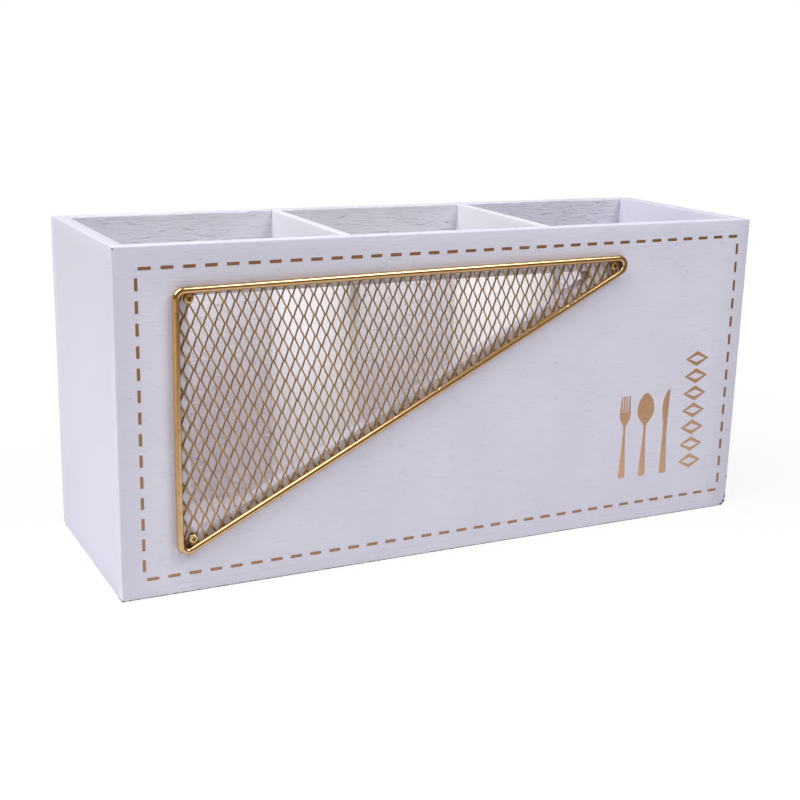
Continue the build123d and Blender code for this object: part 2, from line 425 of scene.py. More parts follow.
# %% Brass
def brass(name, colour, shade, roughness, dullness, pits, ripple=0.012):
    """Plated brass: two close colours in patches, with small dark pits in the plating."""
    material, shader, point = new_material(name)
    patches = ramp(clouds(point, 0.35, 3.0), 0.35, 0.7)
    plating = blend(patches, colour, shade)
    spots = ramp(clouds(point, 1.9), pits, pits + 0.05)
    rough = maths("MULTIPLY_ADD", patches, dullness, roughness)
    plug(shader, {
        "Base Color": blend(times(spots, 0.7), plating, (0.16, 0.09, 0.04)),
        "Metallic": 1.0,
        "Roughness": maths("MAXIMUM", rough, times(spots, 0.6)),
        "Normal": relief((clouds(point, 2.2), ripple), (spots, -0.03)),
    })
    return material


mesh_brass = brass("mesh_brass", (0.50, 0.315, 0.138), (0.33, 0.20, 0.078), 0.26, 0.10, 0.74)
wire_brass = brass("wire_brass", (0.65, 0.44, 0.235), (0.58, 0.385, 0.19), 0.13, 0.06, 0.70,
                   ripple=0.0015)
screw_brass = brass("screw_brass", (0.80, 0.62, 0.33), (0.60, 0.43, 0.18), 0.26, 0.12, 0.66)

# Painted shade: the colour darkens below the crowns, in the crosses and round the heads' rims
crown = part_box("corner_screws")[0].y / mm
point = place_in_mm(screw_brass.node_tree)
sunk_shade = ramp(xyz(point)["Y"], crown + 0.2, crown + 0.45)
tint(screw_brass, sunk_shade, (0.30, 0.155, 0.02))

# %% Pin steel
pin_steel, shader, point = new_material("pin_steel")
marks = clouds(stretched(point, (3.0, 0.3, 3.0)), 1.0)
plug(shader, {
    "Base Color": blend(marks, (0.50, 0.50, 0.52), (0.62, 0.62, 0.64)),
    "Metallic": 1.0,
    "Roughness": 0.35,
    "Normal": relief((marks, 0.01)),
})
for name, finish in (("corner_screws", screw_brass), ("front_pins", pin_steel),
                     ("back_pins", pin_steel), ("base_pins", pin_steel)):
    nodes[name].data.materials.clear()
    nodes[name].data.materials.append(finish)
print("Finishes in all:", len(bpy.data.materials))

# %% [markdown]
# ## The boards
#
# Each board is a sawn block with its arrises sanded by hand. A plain cube has perfectly
# straight edges and looks computed, so the block gets three things: a small rounded bevel on
# the edges that show, cross-cuts that give it enough points to bend, and a shallow, slow
# wobble along those points, as sanding and thick paint leave behind. The wobble is only a
# few hundredths of a millimetre deep, but it breaks up the shine along the edges.

# %% Block and edges
edge_ease = 0.45 * mm
tiny = 0.01 * mm


def sawn_block(low, high):
    """A block between two opposite corners."""
    bm = bmesh.new()
    bmesh.ops.create_cube(bm, size=1)
    bmesh.ops.scale(bm, vec=high - low, verts=bm.verts)
    bmesh.ops.translate(bm, vec=(low + high) / 2, verts=bm.verts)
    return bm


def turn(bm, verts, matrix, centre=(0, 0, 0)):
    """Turns some points about a centre."""
    bmesh.ops.rotate(bm, verts=verts, cent=centre, matrix=matrix)


def edge_runs(edge, axis):
    """True if an edge lies along an axis."""
    along = (edge.verts[1].co - edge.verts[0].co).normalized()
    return abs(along[axis]) > 0.99


def arrises(bm, *planes):
    """The sharp edges that lie in any of some planes, each given as an axis and a place."""
    return [
        edge
        for edge in bm.edges
        if edge.calc_face_angle(0) > radians(30)
        and any(all(abs(v.co[axis] - at) < tiny for v in edge.verts) for axis, at in planes)
    ]


def ease(bm, edges, offset=edge_ease, segments=3):
    """Rounds some edges."""
    bmesh.ops.bevel(bm, geom=edges, offset=offset, offset_type="OFFSET", segments=segments,
                    profile=0.5, affect="EDGES", clamp_overlap=True, material=-1)


# %% Cuts and sanding
def slice_at(bm, place, direction, parts=None, **settings):
    """Cuts a bmesh, or some parts of it, along a plane."""
    return bmesh.ops.bisect_plane(bm, geom=parts or [*bm.verts, *bm.edges, *bm.faces],
                                  dist=tiny / 10, plane_co=place, plane_no=direction, **settings)


def cross_cut(bm, axis, places):
    """Cuts right through the board at some places along an axis, to give it more points."""
    normal = Vector([float(n == axis) for n in range(3)])
    for place in places:
        slice_at(bm, normal * place, normal)


def steps(low, high, spacing):
    """Places between two ends, about this far apart, without the ends."""
    count = max(1, round((high - low) / spacing))
    return [low + (high - low) * n / count for n in range(1, count)]


def slow_wave(point, wavelength, seed=0.0):
    """Smooth noise between about -1 and 1."""
    return noise.noise(point / wavelength + Vector((seed, seed * 1.7, seed * 2.3)))


def hand_sanded(bm, depth, seed):
    """A shallow wobble, along each point's normal, that leaves the underside flat."""
    bm.normal_update()
    moves = {v: v.normal * depth * slow_wave(v.co, 14 * mm, seed) for v in bm.verts}
    for v, move in moves.items():
        if v.co.z > edge_ease:
            v.co += move


# %% Finished pieces
def linked_mesh(name, bm, materials):
    """Makes an object of a bmesh, which is used up by it."""
    mesh = bpy.data.meshes.new(name)
    bm.to_mesh(mesh)
    bm.free()
    for material in materials:
        mesh.materials.append(material)
    made = bpy.data.objects.new(name, mesh)
    bpy.context.scene.collection.objects.link(made)
    return made


def finish_piece(name, bm, materials, replaced=(), sharp=35):
    """Makes a named piece of a bmesh, smooth except at its sharp edges, riding on the box."""
    for face in bm.faces:
        face.smooth = True
    for edge in bm.edges:
        edge.smooth = edge.calc_face_angle(0) < radians(sharp)
    piece = linked_mesh(name, bm, materials)
    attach(piece, "root")
    if replaced:
        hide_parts(*replaced)
    print(name, "has", len(piece.data.polygons), "faces")


# %% [markdown]
# ### End boards, base and dividers
#
# These are the plain ones. The end boards show their outer faces and top edges, the dividers
# show their top edges and the faces towards the viewer, and the base is seen from above
# through the window. The tops of the dividers fall a little towards the front. As the boards
# differ in so little, one function makes them all.

# %% End boards, base and dividers
def plain_board(node, material, eased_planes, cuts, seed, low_top=(0.0, 0.0)):
    """A board where the measured model has it; low_top is how far its top lies below the
    walls at the back and at the front, in millimetres."""
    low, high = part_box(node)
    bm = sawn_block(low, high)
    planes = [(axis, (low, high)[side][axis]) for axis, side in eased_planes]
    ease(bm, [edge for edge in arrises(bm, *planes) if edge_runs(edge, 1)])
    for axis, spacing in cuts:
        cross_cut(bm, axis, steps(low[axis], high[axis], spacing))
    hand_sanded(bm, 0.05 * mm, seed)
    at_back, at_front = low_top
    for v in bm.verts:
        if v.co.z > high.z - 1 * mm:
            share = (high.y - v.co.y) / (high.y - low.y)
            v.co.z -= (at_back + (at_front - at_back) * share) * mm
    finish_piece("painted_" + node, bm, [material], [node])


top, low_x, high_x = (2, 1), (0, 0), (0, 1)  # an axis, and its low or high side
upright_cuts = ((1, 3 * mm), (2, 5 * mm))
plain_board("left_end_board", left_paint, [top, low_x], upright_cuts, 3.1)
plain_board("right_end_board", right_paint, [top, high_x], upright_cuts, 5.3)
plain_board("divider_1", divider_paint, [top], upright_cuts, 7.7, low_top=(0.3, 1.35))
plain_board("divider_2", divider_paint, [top], upright_cuts, 9.2, low_top=(0.3, 1.65))
plain_board("base_board", base_paint, [], ((0, 8 * mm), (1, 8 * mm)), 11.4)

# %% [markdown]
# ### Back board
#
# Its top edge is the rough one: it was planed badly and painted thickly, so it dips and
# rises by a few tenths of a millimetre, with small beads of dried paint. It is cut finely
# along its length, and only the points near the top are moved. The lower back corner at the
# left is worn round, where the box is set down first.

# %% Back board
foot_high = 8 * mm

low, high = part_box("back_board")
bm = sawn_block(low, high)
ease(bm, arrises(bm, (1, high.y), (2, high.z)))
cross_cut(bm, 0, steps(low.x, high.x, 1.0 * mm))
cross_cut(bm, 2, [high.z - 6 * mm, high.z - 3 * mm, high.z - 1.2 * mm])
cross_cut(bm, 2, [*steps(0, foot_high, 2 * mm), foot_high])
cross_cut(bm, 1, steps(low.y, high.y, 0.75 * mm))
hand_sanded(bm, 0.06 * mm, 1.3)

# %% Worn foot
# The lower back edge is lifted in an arc that fades away from the left end
foot_reach, foot_lift, foot_fade = 6 * mm, 2.8 * mm, 14 * mm
for v in bm.verts:
    into = (v.co.y - high.y + foot_reach) / foot_reach
    near_end = 1 - (v.co.x - low.x) / foot_fade
    if into > 0 and near_end > 0 and v.co.z < foot_high:
        raised = foot_lift * (1 - cos(asin(min(1.0, into)))) * near_end
        v.co.z += raised * (1 - v.co.z / foot_high)

# %% Rough top
rough_depth = 6 * mm
for v in bm.verts:
    share = max(0.0, 1 - (high.z - v.co.z) / rough_depth)
    dips = 0.18 * slow_wave(v.co, 11 * mm, 2.0) + 0.07 * slow_wave(v.co, 2.4 * mm, 4.0)
    beads = 0.5 * max(0.0, slow_wave(v.co, 3 * mm, 6.0) - 0.5)
    v.co.z += share * (dips + beads - 0.3) * mm
    v.co.y -= share * 0.25 * mm * slow_wave(v.co, 5 * mm, 8.0)
finish_piece("painted_back_board", bm, [back_paint], ["back_board"])

# %% [markdown]
# ### Front board and its window
#
# The window is a triangle with its thin tip cut off bluntly. A boolean cutter would do, but
# four cuts along the window's sides keep the mesh clean: they outline the window on both
# faces, the two faces inside it are deleted, and a bridge between the two rims makes the
# sawn walls. The two left corners are then rounded, as a drill leaves them.
#
# Places on the front are written as a maker would mark them out: from the board's left edge
# and from its bottom edge.

# %% Window outline
window_left = 28.9
window_low_corner = 22.9
window_high = 120.3
window_tip = 219.8
window_end_height = 4.2
window_radius = 3.5

front_low, front_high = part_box("front_board")


def on_front(across, up, proud=0.0):
    """A point of the front face from its left and bottom edges, in millimetres."""
    return Vector((front_low.x + across * mm, front_low.y - proud * mm, up * mm))


window_rise = (window_high - window_low_corner) / (window_tip - window_left)
window_end = window_tip - window_end_height / window_rise
window_corners = (
    on_front(window_left, window_low_corner),
    on_front(window_left, window_high),
    on_front(window_end, window_high),
    on_front(window_end, window_high - window_end_height),
)
_, _, end_high, end_low = window_corners
print("Window end in mm from the left:", round(window_end, 1))

# %% Outlines in the front plane
def outward(start, end):
    """The direction in the front plane that points out of a clockwise outline's side."""
    along = (end - start).normalized()
    return Vector((-along.z, 0, along.x))


def sides(corners):
    """Each side of an outline, as its two ends."""
    return list(zip(corners, (*corners[1:], corners[0])))


def within(point, corners):
    """True if a point lies inside a clockwise outline in the front plane."""
    return all((point - start).dot(outward(start, end)) < 0 for start, end in sides(corners))


# %% Window
bm = sawn_block(front_low, front_high)
for start, end in sides(window_corners):
    slice_at(bm, start, outward(start, end))
opened = [face for face in bm.faces if abs(face.normal.y) > 0.9
          and within(face.calc_center_median(), window_corners)]
bmesh.ops.delete(bm, geom=opened, context="FACES")
bmesh.ops.bridge_loops(bm, edges=[edge for edge in bm.edges if edge.is_boundary])
sharp_angle = pi / 2 - atan(window_rise)
for corner, inner_angle in zip(window_corners, (sharp_angle, pi / 2)):
    walls = [edge for edge in bm.edges if edge_runs(edge, 1)
             and all(hypot(v.co.x - corner.x, v.co.z - corner.z) < tiny for v in edge.verts)]
    ease(bm, walls, offset=window_radius * mm / tan(inner_angle / 2), segments=6)
print("Faces of the board with its window:", len(bm.faces))

# %% Sanding of the front board
close = 0.5 * mm
ease(bm, arrises(bm, (1, front_low.y), (2, front_high.z)))
cross_cut(bm, 0, steps(front_low.x, front_high.x, 3 * mm))
cross_cut(bm, 0, steps(front_high.x - 5 * mm, front_high.x, close))
cross_cut(bm, 0, steps(end_low.x - 1.5 * mm, end_low.x + 1.5 * mm, close))
cross_cut(bm, 2, steps(0, front_high.z, 5 * mm) + steps(0, 5 * mm, close))
cross_cut(bm, 2, steps(end_low.z, end_high.z, close))
cross_cut(bm, 1, steps(front_low.y, front_high.y, 1 * mm))
hand_sanded(bm, 0.04 * mm, 0.4)

# %% Knocked corner
# The lower right corner is rounded, because it has been dropped on something
knock_radius = 3.4 * mm
centre = Vector((front_high.x - knock_radius, 0, knock_radius))
for v in bm.verts:
    away = Vector((v.co.x - centre.x, 0, v.co.z - centre.z))
    if away.x > 0 and away.z < 0 and away.length > knock_radius:
        share = 1 - 0.6 * (v.co.y - front_low.y) / (front_high.y - front_low.y)
        v.co -= away.normalized() * (away.length - knock_radius) * share

# %% Torn end
# The blunt end of the window is rough and bare, where the wood was snapped
margin = 0.6 * mm
for v in bm.verts:
    if abs(v.co.x - end_low.x) < margin and end_low.z - margin < v.co.z < end_high.z + tiny:
        v.co.x += 0.9 * mm * slow_wave(v.co, 1.5 * mm, 3.0)
for face in bm.faces:
    middle = face.calc_center_median()
    near_end = abs(middle.x - end_low.x) < 1.5 * mm and abs(face.normal.x) > 0.5
    face.material_index = int(near_end and middle.z < end_high.z)

# %% Splinters
# How far down and how deep each shard is, its length and its rise
shards = ((1.6, 1.0, 4.6, 0.5), (2.6, 1.6, 3.4, -0.2), (3.6, 0.9, 5.2, -0.9), (0.9, 3.0, 3.0, 0.3))
for down, deep, length, rise in shards:
    made = bmesh.ops.create_cone(bm, cap_ends=True, segments=5, radius1=0.45 * mm,
                                 radius2=0.08 * mm, depth=length * mm)["verts"]
    turn(bm, made, Vector((-length, 0, rise)).to_track_quat("Z", "Y").to_matrix())
    place = on_front(window_end + 1 - length / 2, window_high + rise / 2 - down, -deep)
    bmesh.ops.translate(bm, verts=made, vec=place)
    for face in {face for v in made for face in v.link_faces}:
        face.material_index = 1
finish_piece("painted_front_board", bm, [front_paint, bare_wood],
             ["front_board"])

# %% [markdown]
# ## The mesh
#
# Expanded metal is not woven. A sheet is slit in rows and pulled open, so it is made of
# zigzag strands that lie side by side and stay joined where they meet, at the bonds. Each
# strand is turned about its length, which is why the strands that lean one way look darker
# than those that lean the other way.
#
# It could be modelled as a flat plate with holes, but the turned strands are what catches
# the light. So one zigzag of each kind is drawn out from a small four-sided ring, copied
# along the row, and the whole field is cut to the triangle of the wire.

# %% Path of the wire
mesh_thickness = 0.7
wire_radius = 1.4
wire_bend = 3.3
wire_left = window_left - 5.5
wire_low_corner = window_low_corner - 6.7
wire_high = window_high + 2.5
wire_tip = window_tip + 19.7
wire_rise = 3.0
wire_corners = (
    on_front(wire_left, wire_low_corner),
    on_front(wire_left, wire_high),
    on_front(wire_tip, wire_high + wire_rise),
)

# Each straight run between the bends: its start, its end, and the turn that follows
wire_runs = []
for number in range(3):
    before, here, after, beyond = (wire_corners[(number + n) % 3] for n in (-1, 0, 1, 2))
    along = (after - here).normalized()
    turn_here = along.angle((here - before).normalized())
    turn_after = along.angle((beyond - after).normalized())
    start = here + along * wire_bend * mm * tan(turn_here / 2)
    end = after - along * wire_bend * mm * tan(turn_after / 2)
    wire_runs.append((start, end, turn_after))


def wire_outline(steps_per_bend=5):
    """The wire's axis seen from the front, with each bend as a few short sides."""
    outline = []
    for start, end, bend in wire_runs:
        centre = end - outward(start, end) * wire_bend * mm
        outline.append(start)
        for step in range(steps_per_bend):
            turned = Matrix.Rotation(bend * step / steps_per_bend, 3, "Y")
            outline.append(centre + turned @ (end - centre))
    return outline


print("Straight runs in mm:", [round((run[1] - run[0]).length / mm, 1) for run in wire_runs])

# %% [markdown]
# ### Painted shade under the mesh
#
# Inside the wire the front's paint is darkened with painted shade, most of all along the
# sloping run, and painted shadow is darkest in the low corner and at the tip. A gradient
# painted by hand would do it too, but the wire's own straight runs give exact limits.

# %% Painted shade under the mesh
point = place_in_mm(front_paint.node_tree)
parts = xyz(point)
tip = wire_runs[1][1].x / mm
share = times(ramp(parts["Y"], front_face + 0.5, front_face + 0.1), ramp(parts["X"], tip + 1, tip))
facing = [outward(start, end) for start, end in sides(wire_corners)]
for start, direction in zip(wire_corners, facing):
    along = add("VectorMath", {0: point, 1: direction}, operation="DOT_PRODUCT").outputs["Value"]
    beyond = maths("SUBTRACT", along, direction.dot(start) / mm)
    share = times(share, ramp(beyond, 0.8, -0.8))
# Painted shade over the whole front face inside the wire
tint(front_paint, share, (0.70, 0.68, 0.765))
# Deeper painted shade in a band along the sloping run, towards the low corner
foot = times(times(share, ramp(beyond, -7.0, -6.0)), ramp(parts["X"], 62, 25))
tint(front_paint, foot, (0.56, 0.53, 0.56))

# %% Painted shadow in two corners
spot_radius = 2.6
# Painted shadow between the screw and the wire, where the wire closes in on both sides
for number in (0, 2):
    before, after = facing[number - 1], facing[number]
    spot = wire_corners[number] - (before + after) * spot_radius * mm / (1 + before.dot(after))
    away = distance(point, (spot.x / mm, front_face, spot.z / mm))
    tint(front_paint, times(ramp(away, 3.2, 1.4), 0.8), (0.16, 0.12, 0.09))
print("Nodes in the front's paint:", len(front_paint.node_tree.nodes))

# %% Mesh lattice
diamond_width = 4.66
diamond_height = 8.52
row_tilt = radians(1.2)
column_lean = radians(3.36)
first_bond_across = 3.13
first_bond_down = 1.77

columns_across = Vector((cos(row_tilt), 0, sin(row_tilt))) * diamond_width * mm
rows_up = Vector((-sin(column_lean), 0, cos(column_lean))) * diamond_height * mm / 2


def bond(column, row):
    """Where two strands join; odd rows are shifted by half a diamond."""
    start = wire_corners[1] + Vector((first_bond_across, 0, -first_bond_down)) * mm
    return start + columns_across * (column + (row % 2) / 2) + rows_up * row


print("Rows of bonds:", round(2 * (wire_high + wire_rise - wire_low_corner) / diamond_height))

# %% Rings of points
def only(kind, parts):
    """Those parts of a bmesh that are of one kind: BMVert or BMEdge."""
    return [part for part in parts if isinstance(part, getattr(bmesh.types, kind))]


def ring_edges(ring):
    """The edges that join the points of a ring."""
    members = set(ring)
    joined = dict.fromkeys(edge for v in ring for edge in v.link_edges)
    return [edge for edge in joined if set(edge.verts) <= members]


def drawn_out(bm, ring):
    """Extrudes a ring; the new ring still lies on the old one and has to be moved."""
    return only("BMVert", bmesh.ops.extrude_edge_only(bm, edges=ring_edges(ring))["geom"])


# %% Mesh strands
strand_width = 0.68
strand_thickness = 0.38
strand_turn = radians(-28)
bond_length = 0.5


def zigzag(bm, first_side, low_row, high_row):
    """One strand drawn from row to row; first_side is 1 or -1, its side of the even bonds."""
    half_bond = rows_up.normalized() * bond_length / 2 * mm
    sideways = Vector((cos(strand_turn), sin(strand_turn), 0)) * strand_width / 2 * mm
    depth = Vector((0, -mesh_thickness / 2, 0)) * mm
    circle = bmesh.ops.create_circle(bm, cap_ends=True, segments=4, radius=hypot(0.5, 0.5))
    ring = circle["verts"]
    turn(bm, ring, Matrix.Rotation(pi / 4, 3, "Z"))
    bmesh.ops.scale(bm, vec=(strand_width * mm, strand_thickness * mm, 1), verts=ring)
    turn(bm, ring, Matrix.Rotation(strand_turn, 3, "Z"))
    here = None
    for row in range(low_row, high_row + 1):
        odd = row % 2
        side = -first_side if odd else first_side
        column = -1 if odd and first_side < 0 else 0
        middle = bond(column, row) + sideways * side + depth
        for place in (middle - half_bond, middle + half_bond):
            ring = drawn_out(bm, ring) if here else ring
            bmesh.ops.translate(bm, verts=ring, vec=place - (here or Vector()))
            here = place
    bmesh.ops.contextual_create(bm, geom=ring_edges(ring))


# %% Mesh panel
bm = bmesh.new()
rows_down = int(2 * (wire_high - wire_low_corner) / diamond_height) + 4
columns_right = int((wire_tip - wire_left) / diamond_width) + 3
columns_left = int(rows_down * abs(rows_up.x) / columns_across.x) + 3
for side in (1, -1):
    zigzag(bm, side, -rows_down, 3)
pattern = [*bm.verts, *bm.edges, *bm.faces]
for column in range(-columns_left, columns_right):
    if column:
        moved = only("BMVert", bmesh.ops.duplicate(bm, geom=pattern)["geom"])
        bmesh.ops.translate(bm, verts=moved, vec=columns_across * column)
for start, end in sides(wire_outline()):
    cut = slice_at(bm, start, outward(start, end), clear_outer=True)["geom_cut"]
    rim = [edge for edge in only("BMEdge", cut) if edge.is_boundary]
    bmesh.ops.holes_fill(bm, edges=rim, sides=0)
bmesh.ops.recalc_face_normals(bm, faces=bm.faces)
finish_piece("brass_mesh_panel", bm, [mesh_brass], ["mesh_panel"], sharp=50)

# %% [markdown]
# ## The wire edge
#
# A length of brass-plated wire was bent round three corners and butt-welded into a loop. The
# script bends it the same way: a ring of points is drawn along each straight run, and spun
# about the centre of each bend. The straight runs get many short steps, so that a slight
# waviness breaks up the highlight, and at a few steps the ring is drawn in, where the weld
# and some knocks left small dents.

# %% Faults of the wire
wire_dents = ((48, 93), (33, 53), (30, 101, 124))  # for each run, from its start
wire_bow = (0.2, 0.2, 0.4)  # how far each run swells outwards at its middle


def wire_steps(length, dents):
    """Where along a run the ring is set, and how wide it is there."""
    places = {place: 1.0 for place in steps(0, length, 4 * mm)}
    for dent in dents:
        for shift, width in ((-0.9, 1.0), (-0.35, 0.985), (0.0, 0.965), (0.35, 0.985), (0.9, 1.0)):
            places[(dent + shift) * mm] = width
    places[length] = 1.0
    return sorted(places.items())


# %% Wire edge
bm = bmesh.new()
axis = Vector((0, -mesh_thickness - wire_radius, 0)) * mm
runs = [(start + axis, end + axis, bend) for start, end, bend in wire_runs]
start, end, _ = runs[0]
ring = bmesh.ops.create_circle(bm, segments=20, radius=wire_radius * mm)["verts"]
turn(bm, ring, (end - start).normalized().to_track_quat("Z", "X").to_matrix())
bmesh.ops.translate(bm, verts=ring, vec=start)
for (start, end, bend), dents, bow in zip(runs, wire_dents, wire_bow):
    length = (end - start).length
    along = (end - start).normalized()
    inward = -outward(start, end)
    here, width_here = start, 1.0
    for reach, width in wire_steps(length, dents):
        place = start + along * reach
        share = reach / length
        if share < 0.999:
            swell = bow * 4 * share * (1 - share)
            place += inward * mm * (0.03 * slow_wave(place, 29 * mm, 5.0) - swell)
        ring = drawn_out(bm, ring)
        bmesh.ops.translate(bm, verts=ring, vec=place - here)
        middle = sum((v.co for v in ring), Vector()) / len(ring)
        bmesh.ops.scale(bm, vec=(width / width_here,) * 3, verts=ring,
                        space=Matrix.Translation(-middle))
        here, width_here = place, width
    centre = end + inward * wire_bend * mm
    spun = bmesh.ops.spin(bm, geom=[*ring, *ring_edges(ring)], cent=centre, axis=(0, 1, 0),
                          angle=bend, steps=12)
    ring = only("BMVert", spun["geom_last"])
bmesh.ops.remove_doubles(bm, verts=bm.verts, dist=0.05 * mm)
bmesh.ops.recalc_face_normals(bm, faces=bm.faces)
print("Open edges in the wire:", sum(edge.is_boundary for edge in bm.edges))
finish_piece("brass_wire_edge", bm, [wire_brass], ["wire_frame"])

# %% [markdown]
# ## The print
#
# The border and the figures are printed on the paint. They could be drawn inside the paint
# material, but as thin pieces of ink they keep crisp edges at any distance and can be
# repainted on their own. Each is a flat shape that reaches from just inside the paint to a
# few hundredths of a millimetre above it.
#
# The border is a rectangle of dashes, turned by a fraction of a degree, because the print
# went on slightly crooked.

# %% Printed border
ink_proud = 0.05
ink_depth = 0.15
border_left, border_right = 9.0, 293.7
border_low, border_high = 8.45, 131.95
print_tilt = radians(0.16)
dash_length = 5.0
upright_dash_length = 4.9
dash_width = 1.3


def printed_dash(bm, across, up, length, width):
    """One dash, longer along X or along Z, with rounded corners."""
    made = bmesh.ops.create_cube(bm, size=1)["verts"]
    bmesh.ops.scale(bm, vec=Vector((length, ink_depth, width)) * mm, verts=made)
    bmesh.ops.translate(bm, vec=on_front(across, up, ink_proud - ink_depth / 2), verts=made)
    corners = dict.fromkeys(edge for v in made for edge in v.link_edges if edge_runs(edge, 1))
    ease(bm, list(corners), offset=0.2 * mm, segments=2)


def evenly(first, last, count):
    """This many places from the first to the last."""
    return [first + (last - first) * n / (count - 1) for n in range(count)]


bm = bmesh.new()
for across in evenly(12.4, 290.75, 33):
    for up in (border_low, border_high):
        printed_dash(bm, across, up, dash_length, dash_width)
for up in evenly(14.4, 126.0, 14):
    for across in (border_left, border_right):
        printed_dash(bm, across, up, dash_width, upright_dash_length)
centre = on_front((border_left + border_right) / 2, (border_low + border_high) / 2)
turn(bm, bm.verts, Matrix.Rotation(-print_tilt, 3, "Y"), centre)
finish_piece("printed_border", bm, [border_ink])

# %% [markdown]
# ### Fork, spoon and knife
#
# Each figure is a silhouette. It starts as one short edge at the foot of the handle, which
# is drawn upwards from station to station. A station gives a height and how far the outline
# lies to the left and to the right there, and a smooth curve through the stations fills in
# the steps between. The fork's slots are then cut out of its head.

# %% Silhouette helpers
def smooth_through(stations, between=4):
    """More stations on a smooth curve through the given ones."""
    curve = []
    for n in range(len(stations) - 1):
        before, here, after, beyond = (
            stations[min(max(n + k, 0), len(stations) - 1)] for k in (-1, 0, 1, 2)
        )
        for step in range(between):
            t = step / between
            curve.append(tuple(
                b + 0.5 * t * (c - a + t * (2 * a - 5 * b + 4 * c - d + t * (3 * (b - c) + d - a)))
                for a, b, c, d in zip(before, here, after, beyond)
            ))
    curve.append(stations[-1])
    return curve


def silhouette(stations):
    """A flat shape in the front plane, drawn up through (height, left, right) stations."""
    bm = bmesh.new()
    (up, left, right), *higher = smooth_through(stations)
    ends = [bm.verts.new(on_front(across, up, ink_proud)) for across in (left, right)]
    rung = bm.edges.new(ends)
    for up, left, right in higher:
        drawn = bmesh.ops.extrude_edge_only(bm, edges=[rung])["geom"]
        rung = only("BMEdge", drawn)[0]
        for v, across in zip(sorted(rung.verts, key=lambda v: v.co.x), (left, right)):
            v.co = on_front(across, up, ink_proud)
    return bm


def symmetric(axis, widths):
    """Stations of a shape that is the same on both sides of an upright axis."""
    return [(up, axis - half, axis + half) for up, half in widths]


def print_figure(name, bm):
    """Gives a flat shape the depth of the ink, as a closed film, and finishes it."""
    drawn = bmesh.ops.extrude_face_region(bm, geom=bm.faces[:])["geom"]
    bmesh.ops.translate(bm, verts=only("BMVert", drawn), vec=(0, ink_depth * mm, 0))
    bmesh.ops.recalc_face_normals(bm, faces=bm.faces)
    finish_piece(name, bm, [figure_ink])


# %% Printed spoon
spoon_widths = (
    (21.4, 0.9), (21.7, 1.5), (22.5, 1.95), (25.0, 1.8), (32.0, 1.35), (40.0, 0.8),
    (44.0, 0.7), (46.3, 1.0), (48.0, 2.2), (50.0, 3.8), (52.0, 4.6), (53.5, 4.75),
    (56.0, 4.45), (58.5, 3.5), (60.4, 2.1), (61.3, 1.0), (61.6, 0.15),
)
print_figure("printed_spoon", silhouette(symmetric(247.8, spoon_widths)))

# %% Printed fork
fork_axis = 236.3
head_high = 61.0
slot_low = 53.1
fork_widths = (
    (21.6, 0.9), (21.9, 1.4), (22.7, 1.9), (24.5, 1.75), (28.0, 1.5), (36.0, 1.0),
    (42.0, 0.65), (45.5, 0.62), (47.0, 0.9), (48.3, 1.6), (50.0, 2.65), (51.6, 3.0),
    (53.5, 2.95), (57.0, 2.75), (head_high, 2.4),
)
slots = ((-1.55, 0.4, 0.7), (-0.1, 0.45, 0.62), (1.25, 0.4, 0.8))  # middle, width low and high
fork = silhouette(symmetric(fork_axis, fork_widths))
slice_at(fork, on_front(0, slot_low), (0, 0, 1))
for middle, width_low, width_high in slots:
    cuts = []
    for side in (-1, 1):
        low = on_front(fork_axis + middle + side * width_low / 2, slot_low)
        high = on_front(fork_axis + middle + side * width_high / 2, head_high)
        cuts.append((low, high))
        above = [face for face in fork.faces if face.calc_center_median().z > slot_low * mm]
        bounds = [part for face in above for part in (*face.edges, *face.verts)]
        slice_at(fork, low, outward(low, high), parts=list(dict.fromkeys(above + bounds)))
    (left_low, left_high), (right_low, right_high) = cuts
    slot_outline = (left_low, left_high, right_high, right_low)
    opened = [face for face in fork.faces if within(face.calc_center_median(), slot_outline)]
    bmesh.ops.delete(fork, geom=opened, context="FACES")
print_figure("printed_fork", fork)

# %% Printed knife
knife_stations = (
    (21.3, 259.0, 261.0), (21.6, 258.3, 261.6), (22.4, 258.0, 261.9), (25.0, 258.0, 261.7),
    (32.0, 258.2, 261.2), (40.0, 258.4, 260.7), (46.0, 258.3, 260.7), (50.0, 257.7, 260.9),
    (53.5, 257.35, 261.0), (57.0, 257.7, 261.1), (60.0, 258.9, 261.2), (61.6, 260.0, 261.2),
    (62.2, 260.6, 260.9),
)
print_figure("printed_knife", silhouette(knife_stations))

# %% [markdown]
# ### Ornament
#
# Beside the figures stands a plain ornament, a column of lozenges like the diamonds of the
# mesh. Each starts as a circle of four points, and an inset leaves only its outline.

# %% Printed ornament
ornament_middle = 275.5
ornament_low, ornament_high = 22.0, 79.3
lozenges = 7
lozenge_width = 13.2
lozenge_gap = 1.0
lozenge_stroke = 2.0

bm = bmesh.new()
pitch = (ornament_high - ornament_low + lozenge_gap) / lozenges
tall = pitch - lozenge_gap
for n in range(lozenges):
    centre = on_front(ornament_middle, ornament_low + tall / 2 + n * pitch, ink_proud)
    made = bmesh.ops.create_circle(bm, cap_ends=True, segments=4, radius=0.5)["verts"]
    turn(bm, made, Matrix.Rotation(radians(90), 3, "X"))
    bmesh.ops.scale(bm, vec=Vector((lozenge_width, 1, tall)) * mm, verts=made)
    bmesh.ops.translate(bm, verts=made, vec=centre)
    face = made[0].link_faces[0]
    bmesh.ops.inset_individual(bm, faces=[face], thickness=lozenge_stroke * mm)
    bmesh.ops.delete(bm, geom=[face], context="FACES")
print_figure("printed_ornament", bm)

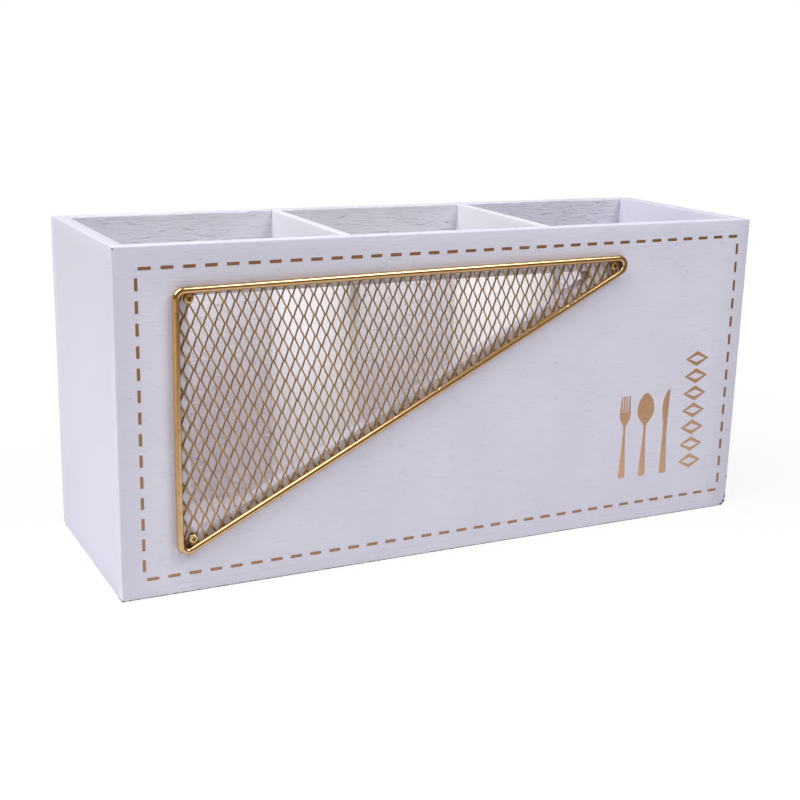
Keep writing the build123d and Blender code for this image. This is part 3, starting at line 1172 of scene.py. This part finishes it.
# %% [markdown]
# ## Floor, lamps and surroundings
#
# The box stands on a white table. A large soft lamp hangs at the upper left, a weak one
# overhead and a small one high at the front on the right. The white background comes from
# the colour of the surroundings, not from more light. Metal needs something dark to mirror,
# or it looks flat. So mirror rays meet a dim warm room far round the table, a floor that is
# brown beyond the box and paler at the left, and a grey sky.

# %% Floor
# White to the eye; duller in the light that it throws back and in mirror reflections
white_table, shader, point = new_material("white_table")
away = add("VectorMath", {0: point}, operation="LENGTH").outputs["Value"]
rays = add("LightPath", {}, point.id_data).outputs
bright = maths("MAXIMUM", rays["Is Diffuse Ray"], rays["Is Glossy Ray"])
thrown_back = blend(bright, (0.92, 0.92, 0.92), (0.76, 0.76, 0.76))
far = times(ramp(away, 140, 420), rays["Is Glossy Ray"])
to_left = ramp(xyz(point)["X"], 0, -450)
room_floor = blend(to_left, (0.34, 0.25, 0.15), (0.62, 0.52, 0.38))
plug(shader, {
    "Base Color": blend(far, thrown_back, room_floor),
    "Roughness": 0.9,
    "Specular IOR Level": 0.1,
})
white = add("Emission", {"Color": (1, 1, 1, 1), "Strength": 1.0}, point.id_data).outputs[0]
fade = maths("MULTIPLY_ADD", ramp(away, 150, 420), 0.12, 0.88)
share = times(fade, rays["Is Camera Ray"])
surface = add("MixShader", {0: share, 1: shader.outputs[0], 2: white}).outputs[0]
plug(white_table.node_tree.nodes["Material Output"], {"Surface": surface})

bm = bmesh.new()
bmesh.ops.create_circle(bm, cap_ends=True, segments=64, radius=2.5)
table_top = linked_mesh("table_top", bm, [white_table])

# %% Dark room
# The cloth is dark but glows a dim warm brown: painted light that only mirror rays see, standing
# in for a lit room
dim_glowing_cloth, shader, _ = new_material("dim_glowing_cloth")
plug(shader, {
    "Base Color": (0.05, 0.045, 0.04, 1),
    "Roughness": 1.0,
    "Emission Color": (0.23, 0.15, 0.075, 1),
    "Emission Strength": 1.0,
})
bm = bmesh.new()
ring = bmesh.ops.create_circle(bm, segments=48, radius=2.4)["verts"]
bmesh.ops.translate(bm, verts=drawn_out(bm, ring), vec=(0, 0, 1.5))
dark_room = linked_mesh("dark_room", bm, [dim_glowing_cloth])
dark_room.visible_camera = False
dark_room.visible_diffuse = False
dark_room.visible_shadow = False

# %% Lamps
def soft_lamp(name, place, size, power, mirrored=True):
    """A square area lamp that faces the middle of the box; metal mirrors it if asked."""
    light = bpy.data.lights.new(name, "AREA")
    light.shape = "SQUARE"
    light.size = size
    light.energy = power
    lamp = bpy.data.objects.new(name, light)
    lamp.visible_glossy = mirrored
    aim = Vector((0, 0, height / 2 * mm)) - Vector(place)
    turned = aim.to_track_quat("-Z", "Y").to_matrix().to_4x4()
    lamp.matrix_world = Matrix.Translation(place) @ turned
    bpy.context.scene.collection.objects.link(lamp)


soft_lamp("key_lamp", (-0.80, -0.10, 1.10), 1.2, 19.7)
soft_lamp("top_lamp", (0.10, 0.00, 1.35), 0.9, 1.9, mirrored=False)
soft_lamp("front_lamp", (0.52, -0.76, 1.10), 0.65, 8.15)
print("Lamps:", len(bpy.data.lights))

# %% Surroundings
world = bpy.data.worlds.new("surroundings")
bpy.context.scene.world = world
world.use_nodes = True
tree = world.node_tree
tree.nodes.clear()
rays = add("LightPath", {}, tree).outputs
sky = maths("MULTIPLY_ADD", rays["Is Glossy Ray"], 0.35, 0.05)
seen_plainly = maths("MAXIMUM", rays["Is Camera Ray"], rays["Is Transmission Ray"])
brightness = maths("MAXIMUM", sky, seen_plainly)
surface = add("Background", {"Color": (1, 1, 1, 1), "Strength": brightness}).outputs[0]
add("OutputWorld", {"Surface": surface})
bpy.context.scene.view_settings.view_transform = "Standard"
